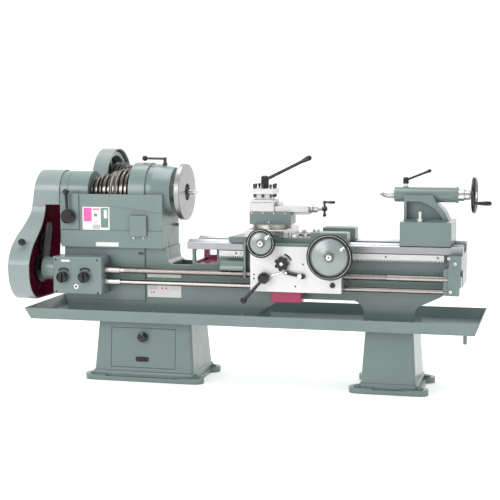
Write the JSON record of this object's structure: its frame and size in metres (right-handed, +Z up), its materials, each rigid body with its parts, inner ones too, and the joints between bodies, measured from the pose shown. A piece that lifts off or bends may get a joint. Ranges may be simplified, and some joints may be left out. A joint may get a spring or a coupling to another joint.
{
  "type": "gap-bed engine lathe",
  "caption": "Belt-driven gap-bed metal lathe on two pedestals with headstock, carriage, compound slide, tool post and tailstock.",
  "frame": {"origin": "middle of the bounding box at floor level", "axes": "+X from the headstock to the tailstock, +Y from the operator to the back, +Z up"},
  "size_m": [2.526, 0.922, 1.24],
  "materials": {
    "enamel": "grey-green machine enamel, semi-gloss",
    "crimson": "crimson enamel, semi-gloss",
    "steel": "ground and oiled steel",
    "black": "black phenolic, polished",
    "dark_steel": "blackened steel, oily",
    "iron": "machined cast iron",
    "bright_plate": "fine milled, satin",
    "plate": "printed charts without text",
    "rubber": "worn V-belt rubber",
    "chrome": "polished"
  },
  "bodies": {
    "machine": {"headstock_pedestal": "enamel", "tailstock_pedestal": "enamel", "chip_tray": "enamel", "bed": "enamel", "gap_bridge": "enamel", "feed_rack": "steel", "fasteners": "steel", "end_bracket": "enamel", "headstock": "enamel", "spindle_bearings": "steel", "instruction_plates": "plate", "feed_gearbox": "enamel", "gearbox_fittings": "dark_steel", "belt_guard": "enamel", "drive_brackets": "enamel", "motor": "enamel", "v_belts": "rubber"},
    "door": {"pedestal_door": "enamel"},
    "spindle_set": {"spindle": "steel", "cone_pulley": "dark_steel", "faceplate": "iron", "live_centre": "steel"},
    "back_gears": {"back_gear_shaft": "dark_steel"},
    "back_lever": {"back_gear_lever": "black"},
    "reverse_lever": {"feed_reverse_lever": "black"},
    "guard": {"gear_guard": "enamel"},
    "input_set": {"input_gears": "dark_steel"},
    "idler": {"idler_gear": "dark_steel"},
    "knob_left": {"selector_knob_left": "black"},
    "knob_right": {"selector_knob_right": "black"},
    "lead": {"leadscrew": "steel"},
    "feed": {"feed_rod": "steel"},
    "counter": {"countershaft": "iron"},
    "rotor": {"motor_rotor": "dark_steel"},
    "carriage": {"saddle": "enamel", "saddle_fittings": "chrome", "apron": "enamel", "apron_plate": "bright_plate", "oil_sump": "crimson", "apron_fittings": "dark_steel"},
    "carriage_wheel": {"carriage_handwheel": "iron"},
    "pinion": {"rack_pinion": "dark_steel"},
    "cross_wheel": {"cross_feed_handwheel": "iron"},
    "star": {"star_knob": "black"},
    "selector": {"feed_selector": "black"},
    "nut_lever": {"half_nut_lever": "black"},
    "nut": {"half_nut": "iron"},
    "cross": {"cross_slide": "steel"},
    "compound": {"compound_base": "enamel"},
    "top": {"top_slide": "steel"},
    "crank": {"compound_crank": "steel"},
    "turret": {"tool_post": "steel", "clamp_screws": "dark_steel"},
    "post_lever": {"tool_post_lever": "black"},
    "tail": {"tailstock": "enamel", "tailstock_clamp": "steel"},
    "quill_set": {"quill": "steel", "dead_centre": "steel"},
    "tail_wheel": {"tailstock_handwheel": "iron"},
    "lock": {"quill_lock_lever": "black"}
  },
  "joints": [
    {"name": "door_lift_off", "type": "slide", "parent": "machine", "child": "door", "axis": [0, -1, 0], "range_m": [0, 0.15]},
    {"name": "spindle_spin", "type": "hinge", "parent": "machine", "child": "spindle_set", "pos_m": [-0.523, -0.06, 1.016], "axis": [1, 0, 0], "continuous": true},
    {"name": "back_gear_spin", "type": "hinge", "parent": "machine", "child": "back_gears", "pos_m": [-0.723, -0.04, 0.877], "axis": [1, 0, 0], "continuous": true},
    {"name": "back_gear_lever_turn", "type": "hinge", "parent": "machine", "child": "back_lever", "pos_m": [-0.488, -0.06, 1.15], "axis": [0, 0, 1], "range_deg": [0, 90]},
    {"name": "feed_reverse_turn", "type": "hinge", "parent": "machine", "child": "reverse_lever", "pos_m": [-0.983, -0.24, 0.888], "axis": [0, 1, 0], "range_deg": [-20, 20]},
    {"name": "gear_guard_open", "type": "hinge", "parent": "machine", "child": "guard", "pos_m": [-1.059, 0.072, 0.8], "axis": [0, 0, -1], "range_deg": [0, 100]},
    {"name": "change_input_spin", "type": "hinge", "parent": "machine", "child": "input_set", "pos_m": [-1.123, -0.245, 0.604], "axis": [1, 0, 0], "continuous": true},
    {"name": "idler_spin", "type": "hinge", "parent": "machine", "child": "idler", "pos_m": [-1.123, -0.199, 0.731], "axis": [1, 0, 0], "continuous": true},
    {"name": "left_selector_turn", "type": "hinge", "parent": "machine", "child": "knob_left", "pos_m": [-0.989, -0.31, 0.567], "axis": [0, 1, 0], "range_deg": [-60, 60]},
    {"name": "right_selector_turn", "type": "hinge", "parent": "machine", "child": "knob_right", "pos_m": [-0.866, -0.31, 0.57], "axis": [0, 1, 0], "range_deg": [-60, 60]},
    {"name": "leadscrew_spin", "type": "hinge", "parent": "machine", "child": "lead", "pos_m": [-0.223, -0.245, 0.604], "axis": [1, 0, 0], "continuous": true},
    {"name": "feed_rod_spin", "type": "hinge", "parent": "machine", "child": "feed", "pos_m": [-0.223, -0.245, 0.54], "axis": [1, 0, 0], "continuous": true},
    {"name": "countershaft_spin", "type": "hinge", "parent": "machine", "child": "counter", "pos_m": [-0.823, 0.26, 1.038], "axis": [1, 0, 0], "continuous": true},
    {"name": "motor_spin", "type": "hinge", "parent": "machine", "child": "rotor", "pos_m": [-0.823, 0.24, 0.57], "axis": [1, 0, 0], "continuous": true},
    {"name": "carriage_slide", "type": "slide", "parent": "machine", "child": "carriage", "axis": [1, 0, 0], "range_m": [-0.2, 0.25]},
    {"name": "carriage_wheel_turn", "type": "hinge", "parent": "carriage", "child": "carriage_wheel", "pos_m": [0.485, -0.39, 0.718], "axis": [0, 1, 0], "range_deg": [-1500, 1900]},
    {"name": "rack_pinion_turn", "type": "hinge", "parent": "carriage", "child": "pinion", "pos_m": [0.4357, -0.26, 0.655], "axis": [0, 1, 0], "range_deg": [-630, 630]},
    {"name": "cross_wheel_turn", "type": "hinge", "parent": "carriage", "child": "cross_wheel", "pos_m": [0.131, -0.39, 0.781], "axis": [0, 1, 0], "range_deg": [-9000, 9000]},
    {"name": "star_knob_turn", "type": "hinge", "parent": "carriage", "child": "star", "pos_m": [0.229, -0.34, 0.673], "axis": [0, 1, 0], "range_deg": [-90, 90]},
    {"name": "feed_selector_turn", "type": "hinge", "parent": "carriage", "child": "selector", "pos_m": [0.251, -0.34, 0.627], "axis": [0, 1, 0], "range_deg": [-12, 15]},
    {"name": "half_nut_close", "type": "slide", "parent": "carriage", "child": "nut", "axis": [0, 0, -1], "range_m": [0, 0.0056]},
    {"name": "half_nut_lever_turn", "type": "hinge", "parent": "carriage", "child": "nut_lever", "pos_m": [0.136, -0.36, 0.598], "axis": [0, 1, 0], "range_deg": [0, 40]},
    {"name": "cross_slide_feed", "type": "slide", "parent": "carriage", "child": "cross", "axis": [0, 1, 0], "range_m": [-0.04, 0.12]},
    {"name": "compound_swivel", "type": "hinge", "parent": "cross", "child": "compound", "pos_m": [0.114, -0.06, 0.84], "axis": [0, 0, 1], "range_deg": [-45, 45]},
    {"name": "top_slide_feed", "type": "slide", "parent": "compound", "child": "top", "axis": [1, 0, 0], "range_m": [-0.04, 0.04]},
    {"name": "compound_crank_turn", "type": "hinge", "parent": "top", "child": "crank", "pos_m": [0.377, -0.06, 0.936], "axis": [1, 0, 0], "range_deg": [-4000, 4000]},
    {"name": "tool_post_index", "type": "hinge", "parent": "top", "child": "turret", "pos_m": [0.071, -0.06, 1], "axis": [0, 0, 1], "range_deg": [-90, 90]},
    {"name": "tool_post_lever_turn", "type": "hinge", "parent": "turret", "child": "post_lever", "pos_m": [0.071, -0.06, 1.06], "axis": [0, 0, 1], "range_deg": [-60, 60]},
    {"name": "tailstock_slide", "type": "slide", "parent": "machine", "child": "tail", "axis": [1, 0, 0], "range_m": [-0.25, 0.05]},
    {"name": "quill_feed", "type": "slide", "parent": "tail", "child": "quill_set", "axis": [-1, 0, 0], "range_m": [-0.02, 0.1]},
    {"name": "tail_wheel_turn", "type": "hinge", "parent": "tail", "child": "tail_wheel", "pos_m": [1.172, -0.06, 1.016], "axis": [1, 0, 0], "range_deg": [-2000, 8000]},
    {"name": "quill_lock_turn", "type": "hinge", "parent": "tail", "child": "lock", "pos_m": [0.822, -0.06, 1.08], "axis": [0, 0, 1], "range_deg": [-40, 40]}
  ],
  "couplings": [
    {"joint": "spindle_spin", "follows": "countershaft_spin", "ratio": 0.86239},
    {"joint": "motor_spin", "follows": "countershaft_spin", "ratio": 3.72},
    {"joint": "change_input_spin", "follows": "leadscrew_spin", "ratio": 2},
    {"joint": "idler_spin", "follows": "leadscrew_spin", "ratio": -2.5},
    {"joint": "feed_rod_spin", "follows": "leadscrew_spin", "ratio": -0.5},
    {"joint": "rack_pinion_turn", "follows": "carriage_slide", "rad_per_m": -35.714},
    {"joint": "carriage_wheel_turn", "follows": "carriage_slide", "rad_per_m": 107.14},
    {"joint": "cross_wheel_turn", "follows": "cross_slide_feed", "rad_per_m": 1256.6},
    {"joint": "compound_crank_turn", "follows": "top_slide_feed", "rad_per_m": 1570.8},
    {"joint": "tail_wheel_turn", "follows": "quill_feed", "rad_per_m": 1256.6},
    {"joint": "half_nut_close", "follows": "half_nut_lever_turn", "m_per_rad": 0.007878}
  ]
}
